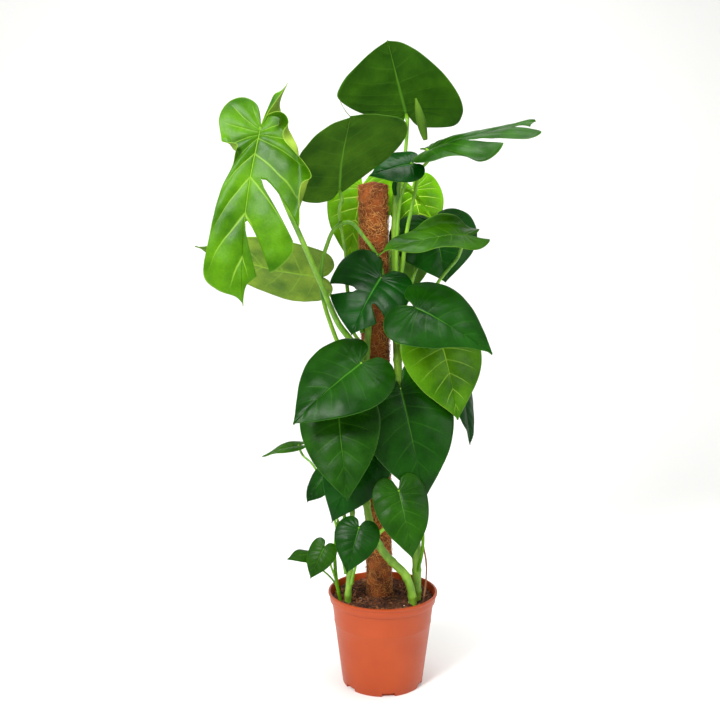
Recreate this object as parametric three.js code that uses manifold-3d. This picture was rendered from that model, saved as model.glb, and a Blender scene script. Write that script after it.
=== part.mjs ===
// Potted monstera on a coir pole: nursery pot, soil, pole, vines, leaf stalks and blades.
// Millimetres, +Z up. The origin is the centre of the pot's flat underside and +X is the plant's right.
import * as THREE from 'three';
import { mergeVertices } from 'three/addons/utils/BufferGeometryUtils.js';
import Module from 'manifold-3d';

// Pot
const POT_HEIGHT = 205;
const POT_RIM_RADIUS = 120;
const POT_BASE_RADIUS = 88;
const POT_WALL = 2.4;
const POT_RIM_HEIGHT = 22;
const POT_SIDES = 40;
const DRAIN_NOTCHES = 6;
const DRAIN_NOTCH_WIDTH = 28;
const DRAIN_NOTCH_HEIGHT = 8;
// Soil and pole
const SOIL_TOP = 192;
const SOIL_SIDES = 30;
const POLE_FOOT = [-4, 0, 30];
const POLE_HEAD = [-23, 0, 1083];
const POLE_FOOT_RADIUS = 27;
const POLE_HEAD_RADIUS = 32;
const POLE_SIDES = 20;
// Plant
const GAP = 0.4;
const BLADE_THICKNESS = 1.8;
const BLADE_ROWS = 9;
const BLADE_COLUMNS = 6;
const STALK_SIDES = 6;
const VINE_SIDES = 8;

const wasm = await Module();
wasm.setup();

function material(color, roughness) {
  return new THREE.MeshStandardMaterial({ color, roughness, metalness: 0 });
}

const terracotta = material(0xc8582c, 0.45);
const earth = material(0x3a2214, 0.95);
const coir = material(0xa85a28, 0.95);
const darkLeaf = material(0x1c5a18, 0.35);
const brightLeaf = material(0x5fa01c, 0.35);
const paleLeaf = material(0x9cc23a, 0.4);
const stalkGreen = material(0x78a83a, 0.5);
const vineGreen = material(0x5c8a34, 0.6);
const rootBrown = material(0x6e4a2a, 0.85);

const plant = new THREE.Group();

function addPiece(name, geometry, look) {
  const mesh = new THREE.Mesh(geometry, look);
  mesh.name = name;
  plant.add(mesh);
  return mesh;
}

// Booleans: a closed three.js geometry to a solid and back.
function toSolid(geometry) {
  const bare = geometry.clone();
  bare.deleteAttribute('normal');
  bare.deleteAttribute('uv');
  const merged = mergeVertices(bare, 1e-3);
  return new wasm.Manifold(new wasm.Mesh({
    numProp: 3,
    vertProperties: merged.attributes.position.array,
    triVerts: new Uint32Array(merged.index.array),
  }));
}

function toGeometry(solid) {
  const mesh = solid.getMesh();
  const geometry = new THREE.BufferGeometry();
  geometry.setAttribute('position', new THREE.BufferAttribute(mesh.vertProperties, 3));
  geometry.setIndex(new THREE.BufferAttribute(mesh.triVerts, 1));
  const faceted = geometry.toNonIndexed();
  faceted.computeVertexNormals();
  return faceted;
}

function vec(point) {
  return new THREE.Vector3(point[0], point[1], point[2]);
}

// A tapering tube along a smooth curve: a unit-section extrusion whose rings are scaled in place.
function taperedTube(points, radiusAt, sides, steps) {
  const path = new THREE.CatmullRomCurve3(points, false, 'centripetal');
  const section = new THREE.Shape();
  for (let i = 0; i < sides; i += 1) {
    const angle = (i / sides) * 2 * Math.PI;
    if (i === 0) section.moveTo(Math.cos(angle), Math.sin(angle));
    else section.lineTo(Math.cos(angle), Math.sin(angle));
  }
  const tube = new THREE.ExtrudeGeometry(section, { steps, extrudePath: path, bevelEnabled: false });
  const centres = path.getSpacedPoints(steps);
  const position = tube.attributes.position;
  const point = new THREE.Vector3();
  for (let i = 0; i < position.count; i += 1) {
    point.fromBufferAttribute(position, i);
    let nearest = 0;
    let least = Infinity;
    for (let k = 0; k <= steps; k += 1) {
      const away = Math.abs(point.distanceTo(centres[k]) - 1);
      if (away < least) {
        least = away;
        nearest = k;
      }
    }
    const radius = radiusAt(nearest / steps);
    point.sub(centres[nearest]).multiplyScalar(radius).add(centres[nearest]);
    position.setXYZ(i, point.x, point.y, point.z);
  }
  return tube;
}

// ---- Pot: one lathe with a rolled rim, a step under it, and drain notches in the foot.
function makePot() {
  const underRim = POT_HEIGHT - POT_RIM_HEIGHT;
  const slope = (POT_RIM_RADIUS - 8 - POT_BASE_RADIUS) / underRim;
  const wallAt = (z) => POT_BASE_RADIUS + slope * z;
  const ring = 2 * POT_HEIGHT / 3;
  const profile = [
    [0, 0],
    [POT_BASE_RADIUS - 2, 0],
    [wallAt(2), 2],
    [wallAt(ring), ring],
    [wallAt(ring) + 1, ring + 3],
    [wallAt(underRim), underRim],
    [POT_RIM_RADIUS - 4, underRim + 1],
    [POT_RIM_RADIUS - 1.5, POT_HEIGHT - 4],
    [POT_RIM_RADIUS, POT_HEIGHT - 3],
    [POT_RIM_RADIUS, POT_HEIGHT - 1],
    [POT_RIM_RADIUS - 1, POT_HEIGHT],
    [POT_RIM_RADIUS - 5, POT_HEIGHT],
    [POT_RIM_RADIUS - 6, POT_HEIGHT - 3],
    [wallAt(underRim) - POT_WALL, underRim - 3],
    [POT_BASE_RADIUS - POT_WALL, 3 + DRAIN_NOTCH_HEIGHT],
    [0, 3 + DRAIN_NOTCH_HEIGHT],
  ];
  const outline = profile.map(([r, z]) => new THREE.Vector2(r, z));
  const turned = new THREE.LatheGeometry(outline, POT_SIDES);
  turned.rotateX(Math.PI / 2);
  let solid = toSolid(turned);
  for (let i = 0; i < DRAIN_NOTCHES; i += 1) {
    const angle = -Math.PI / 2 + 0.12 + (i / DRAIN_NOTCHES) * 2 * Math.PI;
    const notch = new THREE.BoxGeometry(16, DRAIN_NOTCH_WIDTH, 2 * DRAIN_NOTCH_HEIGHT);
    notch.translate(POT_BASE_RADIUS, 0, 0);
    notch.rotateZ(angle);
    solid = solid.subtract(toSolid(notch));
  }
  addPiece('pot', toGeometry(solid), terracotta);
}

// ---- Coir pole: a slightly leaning post that widens towards its head.
function poleGeometry(extra) {
  const foot = vec(POLE_FOOT);
  const head = vec(POLE_HEAD);
  const length = foot.distanceTo(head);
  const post = new THREE.CylinderGeometry(
    POLE_HEAD_RADIUS + extra,
    POLE_FOOT_RADIUS + extra,
    length + 2 * extra,
    POLE_SIDES,
    1,
  );
  const turn = new THREE.Quaternion();
  turn.setFromUnitVectors(new THREE.Vector3(0, 1, 0), head.clone().sub(foot).normalize());
  post.applyQuaternion(turn);
  const middle = foot.clone().add(head).multiplyScalar(0.5);
  post.translate(middle.x, middle.y, middle.z);
  return post;
}

// ---- Vines: thick green stems that climb beside the pole, rooted in the soil.
const vines = {
  left: {
    points: [[62, -58, 120], [61, -60, 215], [45, -64, 262], [8, -66, 300], [-22, -62, 350], [-38, -56, 430],
      [-43, -52, 550], [-38, -50, 690], [-32, -48, 800]],
    foot: 9.5,
    head: 6.5,
  },
  right: {
    points: [[72, -28, 120], [73, -28, 230], [71, -26, 330], [62, -22, 430], [44, -18, 560], [31, -14, 700],
      [25, -12, 850], [24, -12, 980], [27, -12, 1080], [30, -12, 1112]],
    foot: 10,
    head: 8,
  },
  rear: {
    points: [[-18, 70, 120], [-18, 66, 230], [-14, 54, 360], [-10, 48, 560], [-8, 48, 760], [-6, 50, 960]],
    foot: 9,
    head: 6,
  },
  young: {
    points: [[-74, -46, 120], [-76, -50, 200], [-72, -56, 260], [-68, -60, 330], [-66, -58, 400]],
    foot: 8,
    head: 5.5,
  },
};

function vineCurve(vine) {
  return new THREE.CatmullRomCurve3(vine.points.map(vec), false, 'centripetal');
}

function vineGeometry(vine, extra) {
  const taper = (u) => vine.foot + (vine.head - vine.foot) * u + extra;
  return taperedTube(vine.points.map(vec), taper, VINE_SIDES, 3 * (vine.points.length - 1));
}

// ---- Leaf blades.
// A half outline runs from the notch at the stalk (s = 0) round the lobe to the tip (s = 1), as
// sideways and lengthwise shares of the blade's length.
const HEART = [
  [0.035, -0.03], [0.1, -0.17], [0.27, -0.205], [0.43, -0.09], [0.495, 0.12],
  [0.465, 0.35], [0.36, 0.58], [0.2, 0.78], [0.075, 0.92], [0.012, 0.995],
];
const SPLIT_RIGHT = [
  [0.02, -0.05], [0.022, -0.12], [0.035, -0.19], [0.075, -0.215], [0.118, -0.262], [0.13, -0.17],
  [0.13, -0.03], [0.18, 0.046], [0.247, 0.149], [0.29, 0.243], [0.36, 0.3], [0.37, 0.4], [0.345, 0.55],
  [0.31, 0.62], [0.295, 0.7], [0.19, 0.815], [0.1, 0.845], [0.06, 0.865], [0.032, 0.9], [0.008, 0.995],
];
const SPLIT_LEFT = [
  [0.03, -0.05], [0.08, -0.134], [0.17, -0.165], [0.245, -0.12], [0.265, -0.03], [0.225, 0.08],
  [0.18, 0.175], [0.125, 0.215], [0.165, 0.34], [0.19, 0.49], [0.215, 0.67], [0.24, 0.85],
  [0.165, 0.925], [0.06, 0.955], [0.008, 0.995],
];
const TOP_RIGHT = [
  [0.035, -0.03], [0.1, -0.08], [0.292, 0.028], [0.488, 0.2], [0.64, 0.36], [0.75, 0.53],
  [0.71, 0.63], [0.53, 0.77], [0.2, 0.93], [0.012, 0.995],
];
const TOP_LEFT = [
  [0.035, -0.03], [0.12, -0.2], [0.34, -0.3], [0.56, -0.32], [0.668, -0.174], [0.7, -0.014],
  [0.667, 0.188], [0.544, 0.46], [0.332, 0.757], [0.15, 0.93], [0.012, 0.995],
];
const FLARED_RIGHT = [
  [0.035, -0.03], [0.12, -0.08], [0.3, -0.07], [0.46, 0.03], [0.56, 0.22], [0.57, 0.43],
  [0.5, 0.62], [0.36, 0.79], [0.17, 0.93], [0.012, 0.995],
];
const FLARED_LEFT = [
  [0.035, -0.03], [0.16, 0.03], [0.37, 0.2], [0.54, 0.42], [0.62, 0.62], [0.62, 0.78],
  [0.5, 0.92], [0.22, 1.0], [0.012, 0.995],
];
const HANGING = [
  [0.035, 0], [0.12, -0.1], [0.27, -0.1], [0.34, 0.04], [0.33, 0.2], [0.37, 0.34], [0.46, 0.46],
  [0.45, 0.6], [0.36, 0.74], [0.36, 0.92], [0.28, 1.02], [0.16, 0.96], [0.06, 0.95], [0.012, 0.995],
];
const NARROW = [
  [0.035, 0], [0.12, -0.06], [0.26, -0.02], [0.33, 0.14], [0.32, 0.35], [0.26, 0.56], [0.16, 0.76],
  [0.07, 0.91], [0.012, 0.995],
];
const SPREAD = [
  [0.035, -0.03], [0.12, -0.24], [0.32, -0.33], [0.54, -0.26], [0.68, -0.06], [0.7, 0.15],
  [0.65, 0.4], [0.5, 0.62], [0.3, 0.8], [0.1, 0.94], [0.012, 0.995],
];

const SHALLOW = [
  [0.03, -0.005], [0.08, -0.05], [0.2, -0.08], [0.34, -0.03], [0.44, 0.12],
  [0.45, 0.33], [0.37, 0.56], [0.22, 0.76], [0.08, 0.91], [0.012, 0.995],
];

const leafDefaults = {
  wide: 1,
  right: HEART,
  left: HEART,
  fold: 0.12,
  cup: 0.5,
  droop: 0.4,
  twist: 0,
  bow: 0,
  lag: 1.25,
  slots: [],
};

// Where side vein s starts on the midrib.
function veinStart(s, lag) {
  const fan = 0.45;
  if (s < fan) return 0.05 * (s / fan);
  return 0.05 + 0.95 * ((s - fan) / (1 - fan)) ** lag;
}

// The flat blade: share t of the way out along side vein s.
function flatPoint(leaf, side, s, t) {
  const outline = side > 0 ? leaf.right : leaf.left;
  const knots = outline.map(([x, y]) => new THREE.Vector2(x, y));
  const edge = new THREE.SplineCurve(knots).getPoint(s);
  const start = veinStart(s, leaf.lag);
  const midX = 0.55 * edge.x;
  const midY = start + 0.3 * (edge.y - start);
  const x = 2 * t * (1 - t) * midX + t * t * edge.x;
  const y = (1 - t) * (1 - t) * start + 2 * t * (1 - t) * midY + t * t * edge.y;
  return [side * x * leaf.wide, y];
}

// Bends the flat blade: fold at the midrib, cup across, droop along, twist and sideways bow.
function bentPoint(leaf, x, y) {
  const reach = Math.sqrt(x * x + 0.0004) - 0.02;
  const side = x < 0 ? -1 : 1;
  const curl = leaf.cup / 0.5;
  const over = Math.sin(curl * reach) / curl;
  const under = -(1 - Math.cos(curl * reach)) / curl;
  const across = side * (over * Math.cos(leaf.fold) - under * Math.sin(leaf.fold));
  const rise = over * Math.sin(leaf.fold) + under * Math.cos(leaf.fold);
  const turn = leaf.twist * y;
  const acrossTurned = across * Math.cos(turn) + rise * Math.sin(turn);
  const riseTurned = -across * Math.sin(turn) + rise * Math.cos(turn);
  const bend = leaf.droop * y;
  const along = Math.sin(bend) / leaf.droop;
  const fall = -(1 - Math.cos(bend)) / leaf.droop;
  const sway = leaf.bow * 4 * y * (1 - y);
  return new THREE.Vector3(
    acrossTurned + sway,
    along + riseTurned * Math.sin(bend),
    fall + riseTurned * Math.cos(bend),
  );
}

// The move from the blade's own frame to the plant's: stalk end on base, tip on tip, upper side to face.
function bladeFrame(leaf) {
  const localTip = bentPoint(leaf, 0, 1);
  const frameOf = (chord, up) => {
    const y = chord.clone().normalize();
    const z = up.clone().addScaledVector(y, -up.dot(y)).normalize();
    const x = new THREE.Vector3().crossVectors(y, z);
    return new THREE.Matrix4().makeBasis(x, y, z);
  };
  const own = frameOf(localTip, new THREE.Vector3(0, 0, 1));
  const chord = vec(leaf.tip).sub(vec(leaf.base));
  const world = frameOf(chord, vec(leaf.face));
  const scale = chord.length() / localTip.length();
  const placed = world.multiply(own.transpose());
  placed.scale(new THREE.Vector3(scale, scale, scale));
  placed.setPosition(vec(leaf.base));
  return { placed, scale };
}

function bladeNormal(leaf, x, y) {
  const step = 0.002;
  const dx = bentPoint(leaf, x + step, y).sub(bentPoint(leaf, x - step, y));
  const dy = bentPoint(leaf, x, y + step).sub(bentPoint(leaf, x, y - step));
  return dx.cross(dy).normalize();
}

// Maps a unit box onto a patch of the blade: box X is the share out, box Y the side vein,
// box Z the thickness.
function mapToBlade(leaf, box, thickness, shareOf) {
  const { placed, scale } = bladeFrame(leaf);
  const position = box.attributes.position;
  for (let i = 0; i < position.count; i += 1) {
    const { side, s, t } = shareOf(position.getX(i), position.getY(i));
    const [x, y] = flatPoint(leaf, side, s, t);
    const lift = bladeNormal(leaf, x, y).multiplyScalar(position.getZ(i) * thickness / scale);
    const point = bentPoint(leaf, x, y).add(lift).applyMatrix4(placed);
    position.setXYZ(i, point.x, point.y, point.z);
  }
  return box;
}

function bladeGeometry(leaf) {
  const rows = leaf.rows || BLADE_ROWS;
  const box = new THREE.BoxGeometry(1, 1, 1, BLADE_COLUMNS, rows, 1);
  mapToBlade(leaf, box, BLADE_THICKNESS, (u, v) => ({
    side: u < 0 ? -1 : 1,
    s: v + 0.5,
    t: Math.abs(2 * u),
  }));
  if (leaf.slots.length === 0) return box;
  let solid = toSolid(box);
  for (const slot of leaf.slots) {
    const wedge = new THREE.BoxGeometry(1, 1, 1, 4, 1, 1);
    mapToBlade(leaf, wedge, 14, (u, v) => {
      const out = u + 0.5;
      const half = slot.half * (0.25 + Math.sqrt(out) * (1 - 0.4 * out));
      return { side: slot.side, s: slot.s + 2 * v * half, t: slot.from + (1.12 - slot.from) * out };
    });
    if (slot.side < 0) wedge.index.array.reverse();
    solid = solid.subtract(toSolid(wedge));
  }
  return toGeometry(solid);
}

// ---- Leaves: stalk end, tip, the way the upper side faces, and how the stalk runs.
// Stalks start on a vine at a height, or in the soil, and end under the blade.
const leaves = [
  { name: 'split_left', look: brightLeaf, base: [-236, -192, 1174], tip: [-270, -224, 839],
    face: [-0.12, -0.95, 0.28], right: SPLIT_LEFT, left: SPLIT_RIGHT,
    wide: 1, bow: 0.03, lag: 1.75, cup: 0.35, fold: 0.1, droop: 0.3, rows: 18,
    slots: [{ side: -1, s: 0.668, from: 0.25, half: 0.034 }, { side: -1, s: 0.816, from: 0.15, half: 0.03 }],
    vine: 'left', height: 715, away: [-1, 0.2], radius: [6.5, 4.5],
    via: [[-98, -50, 800], [-122, -76, 860], [-162, -138, 960], [-204, -180, 1062]] },
  { name: 'left_under', look: brightLeaf, base: [-132, 64, 888], tip: [-417, 94, 957],
    face: [-0.1, 0.6, 0.8], right: SHALLOW, left: SHALLOW, wide: 0.85, droop: -0.25, cup: 0.3,
    vine: 'rear', height: 700, away: [-1, 0.1], via: [[-60, 66, 760], [-96, 72, 830]], radius: [4.5, 3.2] },
  { name: 'upper_left', look: brightLeaf, base: [-92, -88, 1064], tip: [-66, -244, 1184],
    face: [-0.36, 0.5, 0.8], right: FLARED_RIGHT, left: FLARED_LEFT, cup: 0.3, fold: 0.05,
    vine: 'left', height: 775, away: [-1, 0.2], via: [[-74, -14, 850], [-80, -6, 940], [-92, -54, 1020]],
    radius: [4.5, 3.5] },
  { name: 'top', look: darkLeaf, base: [48, 30, 1232], tip: [5, -60, 1364],
    face: [-0.1, 0.8, 0.6], right: TOP_RIGHT, left: TOP_LEFT, wide: 1.07, droop: -0.3, fold: 0.05, cup: 0.3,
    vine: 'right', height: 1040, away: [0.2, 1], via: [[38, 22, 1100], [48, 36, 1168]], radius: [5, 3.5] },
  { name: 'top_right', look: darkLeaf, base: [84, -50, 1150], tip: [300, -90, 1200],
    face: [-0.24, -0.3, 0.9], right: HANGING, left: NARROW, wide: 1.1, cup: 0.8, droop: 0.2, rows: 14,
    slots: [{ side: 1, s: 0.62, from: 0.35, half: 0.03 }, { side: 1, s: 0.87, from: 0.35, half: 0.03 }],
    vine: 'right', height: 900, away: [1, -0.6], radius: [4.5, 3.2],
    via: [[46, -40, 980], [60, -46, 1050], [74, -50, 1110]] },
  { name: 'upper_middle', look: darkLeaf, base: [55, -78, 1120], tip: [-32, -92, 1092],
    face: [0.05, -0.75, 0.6], wide: 1,
    vine: 'right', height: 860, away: [0.1, -1], via: [[26, -38, 960], [34, -40, 1050]], radius: [4, 3] },
  { name: 'pale_rear_left', look: paleLeaf, base: [-44, 76, 1090], tip: [-76, 92, 925],
    face: [-0.12, -0.95, 0.3], wide: 0.95,
    vine: 'rear', height: 860, away: [-0.6, 1], via: [[-30, 96, 950], [-40, 116, 1040]], radius: [4, 3] },
  { name: 'pale_rear_right', look: paleLeaf, base: [66, 112, 1088], tip: [98, 118, 962],
    face: [0.1, -0.95, 0.3], wide: 1.1,
    vine: 'rear', height: 900, away: [1, 0.5], via: [[30, 92, 980], [54, 142, 1044]], radius: [4, 3] },
  { name: 'right_dark', look: darkLeaf, base: [108, 44, 1006], tip: [134, 20, 878],
    face: [0.1, -0.85, 0.5], wide: 1.6, cup: 0.4,
    vine: 'right', height: 800, away: [1, 0.3], via: [[60, 8, 880], [88, 52, 950]], radius: [4.5, 3] },
  { name: 'right_level', look: brightLeaf, base: [160, -104, 974], tip: [-18, -150, 936],
    face: [-0.1, -0.5, 0.85], wide: 0.68, cup: 0.3, droop: 0.5,
    vine: 'right', height: 720, away: [1, -0.2], radius: [4.5, 3],
    via: [[72, -34, 800], [112, -46, 880], [152, -80, 936]] },
  { name: 'split_centre', look: darkLeaf, base: [-6, -84, 892], tip: [-68, -108, 776],
    face: [-0.3, -0.9, 0.25], right: SPREAD, wide: 1.2, cup: 0.4, fold: 0.15, rows: 12,
    slots: [{ side: -1, s: 0.7, from: 0.3, half: 0.035 }, { side: 1, s: 0.64, from: 0.4, half: 0.035 }],
    vine: 'left', height: 640, away: [-1, 0.6], radius: [5, 3.6],
    via: [[-104, -22, 770], [-130, -20, 860], [-124, -26, 943],
      [-82, -52, 1008], [-36, -44, 966], [-9, -42, 922]] },
  { name: 'right_heart_upper', look: darkLeaf, base: [56, -152, 833], tip: [206, -188, 743],
    face: [0.1, -0.8, 0.6], wide: 1.05,
    vine: 'right', height: 750, away: [0, -1], via: [[32, -60, 790], [50, -124, 812]], radius: [4.5, 3] },
  { name: 'right_heart_bright', look: brightLeaf, base: [114, -56, 771], tip: [152, -82, 597],
    face: [0.25, -0.9, 0.4], wide: 1.05,
    vine: 'right', height: 560, away: [1, 0.2], via: [[78, -16, 650], [100, -22, 720]], radius: [4.2, 3] },
  { name: 'left_heart', look: darkLeaf, base: [-46, -138, 723], tip: [-180, -190, 606],
    face: [-0.1, -0.75, 0.65], wide: 1.05,
    vine: 'left', height: 600, away: [-1, -1], radius: [4.5, 3.2],
    via: [[-68, -92, 642], [-54, -120, 704]] },
  { name: 'left_heart_lower', look: darkLeaf, base: [-94, -124, 628], tip: [-74, -176, 450],
    face: [-0.15, -0.85, 0.5], wide: 0.93,
    vine: 'left', height: 450, away: [-1, 0.3], radius: [4.5, 3.2],
    via: [[-86, -46, 520], [-106, -68, 590]] },
  { name: 'middle_heart', look: darkLeaf, base: [33, -76, 664], tip: [82, -112, 430],
    face: [0.12, -0.88, 0.45], wide: 0.92,
    vine: 'right', height: 480, away: [0, -1], via: [[44, -48, 560], [34, -58, 620]], radius: [4.5, 3.2] },
  { name: 'right_edge', look: darkLeaf, base: [170, 30, 650], tip: [190, 20, 524],
    face: [0.8, -0.5, 0.3], wide: 0.75,
    vine: 'right', height: 400, away: [1, 0.6], via: [[100, 0, 480], [140, 22, 580]], radius: [3.8, 2.6] },
  { name: 'lower_rear', look: darkLeaf, base: [-40, -92, 540], tip: [-109, -98, 384],
    face: [-0.2, -0.85, 0.45], wide: 0.9,
    vine: 'young', height: 345, away: [-1, 0.4], via: [[-84, -44, 420], [-66, -70, 490]], radius: [4, 3] },
  { name: 'left_tongue', look: brightLeaf, base: [-182, -10, 530], tip: [-262, 0, 502],
    face: [-0.1, -0.35, 0.93], wide: 0.55,
    vine: 'young', height: 300, away: [-1, 0.6], radius: [3, 2.2],
    via: [[-116, -30, 420], [-152, -22, 490]] },
  { name: 'left_small_rear', look: darkLeaf, base: [-122, -58, 474], tip: [-162, -64, 418],
    face: [-0.42, -0.7, 0.5], wide: 1, rows: 7,
    vine: 'young', height: 262, away: [-1, -0.5], radius: [2.8, 2.2],
    via: [[-104, -58, 380], [-118, -46, 430]] },
  { name: 'front_heart', look: darkLeaf, base: [28, -140, 464], tip: [55, -178, 333],
    face: [0.05, -0.88, 0.47], wide: 0.86,
    vine: 'left', height: 330, away: [0.5, -1], via: [[8, -96, 380], [24, -110, 430]], radius: [3.8, 2.8] },
  { name: 'front_left_heart', look: darkLeaf, base: [-52, -144, 388], tip: [-76, -170, 302],
    face: [-0.1, -0.85, 0.5], wide: 1.05,
    vine: 'young', height: 240, away: [0.5, -1], radius: [3.4, 2.6],
    via: [[-58, -98, 300], [-54, -112, 350]] },
  { name: 'low_left_heart', look: brightLeaf, base: [-124, -92, 330], tip: [-154, -104, 266],
    face: [-0.1, -0.85, 0.5], wide: 0.9,
    soil: [-84, -28, 150], via: [[-96, -40, 220], [-112, -62, 280]], radius: [3, 2.2] },
  { name: 'low_left_small', look: brightLeaf, base: [-163, -70, 306], tip: [-204, -80, 299],
    face: [-0.2, -0.5, 0.85], wide: 0.95,
    soil: [-88, -8, 150], via: [[-102, -16, 220], [-134, -44, 266]], radius: [2.4, 1.8] },
  { name: 'rear_high', look: darkLeaf, base: [20, 150, 960], tip: [60, 250, 830],
    face: [0.1, 0.8, 0.6], wide: 1.1,
    vine: 'rear', height: 760, away: [0.3, 1], via: [[0, 84, 840], [10, 116, 920]], radius: [4.2, 3] },
];

// The stalk's run: out of the vine alongside it, through the given points, and in under the blade.
function stalkPoints(leaf) {
  const points = [];
  const startRadius = leaf.radius[0];
  if (leaf.vine) {
    const vine = vines[leaf.vine];
    const curve = vineCurve(vine);
    let best = 0;
    for (let u = 0; u <= 1; u += 0.001) {
      const off = Math.abs(curve.getPointAt(u).z - leaf.height);
      if (off < Math.abs(curve.getPointAt(best).z - leaf.height)) best = u;
    }
    const away = new THREE.Vector3(leaf.away[0], leaf.away[1], 0).normalize();
    const vineRadius = vine.foot + (vine.head - vine.foot) * best;
    const axis = curve.getPointAt(best);
    const along = curve.getTangentAt(best);
    const start = axis.clone().addScaledVector(away, vineRadius + startRadius + GAP);
    points.push(start);
    points.push(start.clone().addScaledVector(along, 20).addScaledVector(away, 5));
  } else {
    points.push(vec(leaf.soil));
  }
  for (const point of leaf.via) points.push(vec(point));
  const { placed } = bladeFrame(leaf);
  const normal = bladeNormal(leaf, 0, 0.012).transformDirection(placed);
  const under = bentPoint(leaf, 0, 0.012).applyMatrix4(placed);
  const endOff = BLADE_THICKNESS / 2 + GAP + 0.5;
  points.push(under.clone().addScaledVector(normal, -endOff - 16));
  points.push(under.clone().addScaledVector(normal, -endOff));
  return points;
}

function stalkGeometry(leaf, extra) {
  const points = stalkPoints(leaf);
  const [foot, head] = leaf.radius;
  return taperedTube(points, (u) => foot + (head - foot) * u + extra, STALK_SIDES, points.length + 4);
}

// ---- Aerial roots: thin brown roots that leave the vines and reach the soil.
const roots = {
  aerial_root_right: {
    points: [[83, -40, 330], [92, -48, 280], [90, -54, 230], [86, -60, 205], [84, -62, 170]],
    radius: 2.2,
  },
};

function rootGeometry(root, extra) {
  return taperedTube(root.points.map(vec), () => root.radius + extra, STALK_SIDES, 8);
}

// ---- Rolled young leaf: a slim spindle that stands at the head of the right vine.
function makeSpear() {
  const outline = [[0, 0], [2.5, 2], [8, 22], [9.5, 42], [6, 66], [1.6, 84], [0, 86]];
  const spear = new THREE.LatheGeometry(outline.map(([r, z]) => new THREE.Vector2(r, z)), 10);
  spear.rotateX(Math.PI / 2);
  spear.rotateY(-0.3);
  spear.translate(84, -104, 1160);
  addPiece('young_leaf_rolled', spear, paleLeaf);
}

// ---- Soil: fills the pot and leaves room for whatever stands in it.
function makeSoil() {
  const inside = (z) => {
    const share = (z - 11) / (POT_HEIGHT - POT_RIM_HEIGHT - 14);
    return POT_BASE_RADIUS - POT_WALL + share * (POT_RIM_RADIUS - 8 - POT_BASE_RADIUS) - 0.5;
  };
  const floor = 3 + DRAIN_NOTCH_HEIGHT + GAP;
  const wallTop = POT_HEIGHT - POT_RIM_HEIGHT - 3;
  const outline = [
    [0, floor],
    [inside(11), floor],
    [inside(wallTop), wallTop],
    [inside(wallTop) + 1.5, SOIL_TOP - 4],
    [70, SOIL_TOP],
    [0, SOIL_TOP + 4],
  ];
  const heap = new THREE.LatheGeometry(outline.map(([r, z]) => new THREE.Vector2(r, z)), SOIL_SIDES);
  heap.rotateX(Math.PI / 2);
  let solid = toSolid(heap).subtract(toSolid(poleGeometry(GAP)));
  for (const vine of Object.values(vines)) solid = solid.subtract(toSolid(vineGeometry(vine, GAP)));
  for (const root of Object.values(roots)) solid = solid.subtract(toSolid(rootGeometry(root, GAP)));
  for (const leaf of leaves) {
    if (leaf.soil) solid = solid.subtract(toSolid(stalkGeometry(leaf, GAP)));
  }
  addPiece('soil', toGeometry(solid), earth);
}

for (const leaf of leaves) {
  for (const key of Object.keys(leafDefaults)) {
    if (leaf[key] === undefined) leaf[key] = leafDefaults[key];
  }
}
makePot();
makeSoil();
addPiece('coir_pole', poleGeometry(0), coir);
for (const [name, vine] of Object.entries(vines)) {
  addPiece(`vine_${name}`, vineGeometry(vine, 0), vineGreen);
}
for (const [name, root] of Object.entries(roots)) addPiece(name, rootGeometry(root, 0), rootBrown);
makeSpear();
for (const leaf of leaves) {
  addPiece(`leaf_${leaf.name}`, bladeGeometry(leaf), leaf.look);
  if (leaf.radius) addPiece(`stalk_${leaf.name}`, stalkGeometry(leaf, 0), stalkGreen);
}

export default plant;
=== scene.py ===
import bpy
import bmesh
import math
import random
from mathutils import Matrix, Vector, noise


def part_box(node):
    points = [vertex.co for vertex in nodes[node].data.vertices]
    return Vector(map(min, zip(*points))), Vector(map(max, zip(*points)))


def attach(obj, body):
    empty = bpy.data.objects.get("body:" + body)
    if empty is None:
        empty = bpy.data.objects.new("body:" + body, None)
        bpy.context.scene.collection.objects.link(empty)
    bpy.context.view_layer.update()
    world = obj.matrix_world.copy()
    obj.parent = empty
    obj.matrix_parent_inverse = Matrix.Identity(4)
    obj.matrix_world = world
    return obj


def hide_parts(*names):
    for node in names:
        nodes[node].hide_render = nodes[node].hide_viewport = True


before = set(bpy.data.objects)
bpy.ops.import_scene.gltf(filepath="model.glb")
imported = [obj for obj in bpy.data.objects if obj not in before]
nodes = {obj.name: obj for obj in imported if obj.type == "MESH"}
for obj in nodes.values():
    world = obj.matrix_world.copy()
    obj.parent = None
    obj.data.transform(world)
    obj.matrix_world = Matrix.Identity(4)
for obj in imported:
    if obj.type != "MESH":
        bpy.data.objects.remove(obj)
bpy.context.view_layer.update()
mm = 0.001
dice = random.Random(24)
print("frame loaded:", len(nodes), "nodes")


def srgb(code):
    # hex to the linear values that a shader takes
    parts = [int(code[i:i + 2], 16) / 255 for i in (0, 2, 4)]
    return [p / 12.92 if p <= 0.04045 else ((p + 0.055) / 1.055) ** 2.4 for p in parts] + [1.0]


def setInputs(tree, node, values):
    # each value is a number, a colour or the output of another node
    for key, value in values.items():
        if isinstance(value, bpy.types.NodeSocket):
            tree.links.new(value, node.inputs[key])
        else:
            node.inputs[key].default_value = value


def add(tree, kind, values=None, **settings):
    # one shader node with its settings, its values and its links
    made = tree.nodes.new(kind)
    for key, value in settings.items():
        setattr(made, key, value)
    setInputs(tree, made, values or {})
    return made


def newMaterial(name):
    material = bpy.data.materials.new(name)
    material.use_nodes = True
    tree = material.node_tree
    return material, tree, tree.nodes["Principled BSDF"], tree.nodes["Material Output"]


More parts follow.
